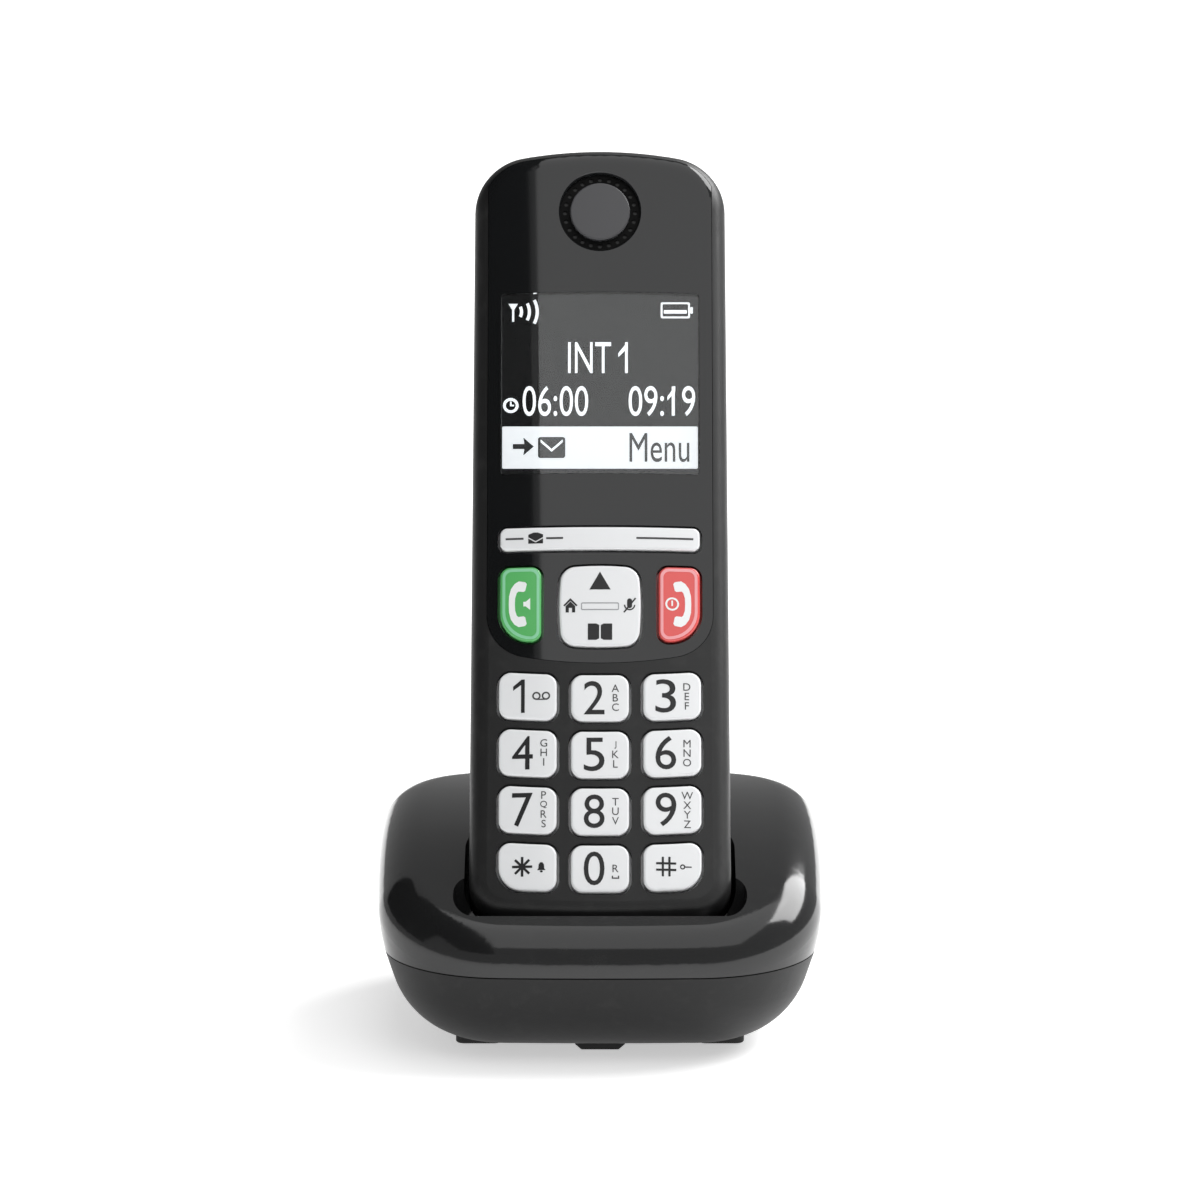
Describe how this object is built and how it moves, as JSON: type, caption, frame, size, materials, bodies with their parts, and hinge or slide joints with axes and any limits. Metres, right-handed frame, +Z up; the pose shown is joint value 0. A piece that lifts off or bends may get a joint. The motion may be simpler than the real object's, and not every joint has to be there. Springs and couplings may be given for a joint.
{
  "type": "cordless telephone with charging base",
  "caption": "Cordless telephone handset with colour display and keypad, standing in a rounded charging base; keys press, battery cover tilts off and the handset lifts out.",
  "frame": {"origin": "on the table under the middle of the bounding box", "axes": "+Z up; the keypad faces -Y and leans back towards +Y; +X is to the right as the user sees it"},
  "size_m": [0.0844, 0.0972, 0.16],
  "materials": {
    "housing_grey": "fine satin texture",
    "fascia_gloss": "high gloss",
    "window_clear": "clear",
    "lcd_glass": "clear, dark",
    "light_guide": "clear acrylic",
    "inner_plastic": "moulded",
    "earpiece_black": "satin gloss",
    "key_white": "lacquered",
    "key_green": "lacquered",
    "key_red": "lacquered",
    "silicone": "matt",
    "steel": "tinned",
    "circuit_board": "solder mask",
    "gold_plate": "plated",
    "nickel": "nickel plated",
    "cell_sleeve": "shrink sleeve",
    "speaker_black": "moulded",
    "socket_black": "moulded",
    "capacitor_sleeve": "shrink sleeve",
    "rubber_foot": "matt"
  },
  "bodies": {
    "base": {"base_top_shell": "housing_grey", "base_bottom_shell": "housing_grey", "base_board": "circuit_board", "line_socket": "socket_black", "power_socket": "socket_black", "charge_pin_carrier": "inner_plastic", "charge_pin_springs": "nickel", "paging_switch": "socket_black", "base_radio_can": "steel", "base_capacitor": "capacitor_sleeve", "base_antennas": "steel", "foot_front_left": "rubber_foot", "foot_front_right": "rubber_foot", "foot_rear_left": "rubber_foot", "foot_rear_right": "rubber_foot", "base_screws": "steel"},
    "handset": {"battery_cell_left": "cell_sleeve", "battery_cell_right": "cell_sleeve", "battery_plates": "nickel", "battery_springs": "nickel", "charge_pads": "gold_plate", "display_fascia": "fascia_gloss", "display_window": "window_clear", "earpiece_cap": "earpiece_black", "earpiece_grille": "earpiece_black", "earpiece_speaker": "speaker_black", "handset_antenna": "steel", "handset_board": "circuit_board", "handset_front_shell": "housing_grey", "handset_radio_can": "steel", "handset_rear_shell": "housing_grey", "handset_screws": "steel", "key_domes": "steel", "key_mat": "silicone", "lcd_frame": "inner_plastic", "lcd_glass": "lcd_glass", "lcd_light_guide": "light_guide", "microphone": "speaker_black", "ringer_speaker": "speaker_black"},
    "battery_cover_body": {"battery_cover": "housing_grey"},
    "charge_pin_left_body": {"charge_pin_left": "gold_plate"},
    "charge_pin_right_body": {"charge_pin_right": "gold_plate"},
    "key_0_body": {"key_0": "key_white"},
    "key_1_body": {"key_1": "key_white"},
    "key_2_body": {"key_2": "key_white"},
    "key_3_body": {"key_3": "key_white"},
    "key_4_body": {"key_4": "key_white"},
    "key_5_body": {"key_5": "key_white"},
    "key_6_body": {"key_6": "key_white"},
    "key_7_body": {"key_7": "key_white"},
    "key_8_body": {"key_8": "key_white"},
    "key_9_body": {"key_9": "key_white"},
    "key_display_body": {"key_display": "key_white"},
    "key_end_body": {"key_end": "key_red"},
    "key_hash_body": {"key_hash": "key_white"},
    "key_nav_body": {"key_nav": "key_white"},
    "key_star_body": {"key_star": "key_white"},
    "key_talk_body": {"key_talk": "key_green"},
    "nav_pivot_ball_body": {"nav_pivot_ball": "inner_plastic"},
    "paging_key_body": {"paging_key": "housing_grey"}
  },
  "joints": [
    {"name": "handset_lift", "type": "slide", "parent": "base", "child": "handset", "axis": [0, 0.4848, 0.8746], "range_m": [0, 0.08]},
    {"name": "key_star_press", "type": "slide", "parent": "handset", "child": "key_star_body", "axis": [0, 0.8746, -0.4848], "range_m": [0, 0.0005], "stiffness_N_per_m": 800, "springref_m": -0.0004, "deforming": ["key_mat", "key_domes"]},
    {"name": "key_0_press", "type": "slide", "parent": "handset", "child": "key_0_body", "axis": [0, 0.8746, -0.4848], "range_m": [0, 0.0005], "stiffness_N_per_m": 800, "springref_m": -0.0004, "deforming": ["key_mat", "key_domes"]},
    {"name": "key_hash_press", "type": "slide", "parent": "handset", "child": "key_hash_body", "axis": [0, 0.8746, -0.4848], "range_m": [0, 0.0005], "stiffness_N_per_m": 800, "springref_m": -0.0004, "deforming": ["key_mat", "key_domes"]},
    {"name": "key_7_press", "type": "slide", "parent": "handset", "child": "key_7_body", "axis": [0, 0.8746, -0.4848], "range_m": [0, 0.0005], "stiffness_N_per_m": 800, "springref_m": -0.0004, "deforming": ["key_mat", "key_domes"]},
    {"name": "key_8_press", "type": "slide", "parent": "handset", "child": "key_8_body", "axis": [0, 0.8746, -0.4848], "range_m": [0, 0.0005], "stiffness_N_per_m": 800, "springref_m": -0.0004, "deforming": ["key_mat", "key_domes"]},
    {"name": "key_9_press", "type": "slide", "parent": "handset", "child": "key_9_body", "axis": [0, 0.8746, -0.4848], "range_m": [0, 0.0005], "stiffness_N_per_m": 800, "springref_m": -0.0004, "deforming": ["key_mat", "key_domes"]},
    {"name": "key_4_press", "type": "slide", "parent": "handset", "child": "key_4_body", "axis": [0, 0.8746, -0.4848], "range_m": [0, 0.0005], "stiffness_N_per_m": 800, "springref_m": -0.0004, "deforming": ["key_mat", "key_domes"]},
    {"name": "key_5_press", "type": "slide", "parent": "handset", "child": "key_5_body", "axis": [0, 0.8746, -0.4848], "range_m": [0, 0.0005], "stiffness_N_per_m": 800, "springref_m": -0.0004, "deforming": ["key_mat", "key_domes"]},
    {"name": "key_6_press", "type": "slide", "parent": "handset", "child": "key_6_body", "axis": [0, 0.8746, -0.4848], "range_m": [0, 0.0005], "stiffness_N_per_m": 800, "springref_m": -0.0004, "deforming": ["key_mat", "key_domes"]},
    {"name": "key_1_press", "type": "slide", "parent": "handset", "child": "key_1_body", "axis": [0, 0.8746, -0.4848], "range_m": [0, 0.0005], "stiffness_N_per_m": 800, "springref_m": -0.0004, "deforming": ["key_mat", "key_domes"]},
    {"name": "key_2_press", "type": "slide", "parent": "handset", "child": "key_2_body", "axis": [0, 0.8746, -0.4848], "range_m": [0, 0.0005], "stiffness_N_per_m": 800, "springref_m": -0.0004, "deforming": ["key_mat", "key_domes"]},
    {"name": "key_3_press", "type": "slide", "parent": "handset", "child": "key_3_body", "axis": [0, 0.8746, -0.4848], "range_m": [0, 0.0005], "stiffness_N_per_m": 800, "springref_m": -0.0004, "deforming": ["key_mat", "key_domes"]},
    {"name": "key_talk_press", "type": "slide", "parent": "handset", "child": "key_talk_body", "axis": [0, 0.8746, -0.4848], "range_m": [0, 0.0005], "stiffness_N_per_m": 800, "springref_m": -0.0004, "deforming": ["key_mat", "key_domes"]},
    {"name": "key_end_press", "type": "slide", "parent": "handset", "child": "key_end_body", "axis": [0, 0.8746, -0.4848], "range_m": [0, 0.0005], "stiffness_N_per_m": 800, "springref_m": -0.0004, "deforming": ["key_mat", "key_domes"]},
    {"name": "display_key_rock", "type": "hinge", "parent": "handset", "child": "key_display_body", "pos_m": [0, -0.00164, 0.09137], "axis": [0, 0.4848, 0.8746], "range_deg": [-1.4, 1.4], "stiffness_Nm_per_rad": 0.2, "deforming": ["key_mat", "key_domes"]},
    {"name": "nav_tilt_up_down", "type": "hinge", "parent": "handset", "child": "nav_pivot_ball_body", "pos_m": [0, -0.00744, 0.07927], "axis": [1, 0, 0], "range_deg": [-2, 2], "stiffness_Nm_per_rad": 0.1, "deforming": ["key_mat", "key_domes"]},
    {"name": "nav_tilt_left_right", "type": "hinge", "parent": "nav_pivot_ball_body", "child": "key_nav_body", "pos_m": [0, -0.00744, 0.07927], "axis": [0, 0.4848, 0.8746], "range_deg": [-2, 2], "stiffness_Nm_per_rad": 0.1, "deforming": ["key_mat", "key_domes"]},
    {"name": "battery_cover_tilt", "type": "hinge", "parent": "handset", "child": "battery_cover_body", "pos_m": [0, -0.00616, 0.04409], "axis": [-1, 0, 0], "range_deg": [0, 25]},
    {"name": "paging_key_press", "type": "slide", "parent": "base", "child": "paging_key_body", "axis": [0, 0, 1], "range_m": [0, 0.0008], "stiffness_N_per_m": 900, "springref_m": -0.0004},
    {"name": "charge_pin_left_press", "type": "slide", "parent": "base", "child": "charge_pin_left_body", "axis": [0, -0.4848, -0.8746], "range_m": [0, 0.0008], "stiffness_N_per_m": 500, "springref_m": -0.0003, "deforming": ["charge_pin_springs"]},
    {"name": "charge_pin_right_press", "type": "slide", "parent": "base", "child": "charge_pin_right_body", "axis": [0, -0.4848, -0.8746], "range_m": [0, 0.0008], "stiffness_N_per_m": 500, "springref_m": -0.0003, "deforming": ["charge_pin_springs"]}
  ]
}
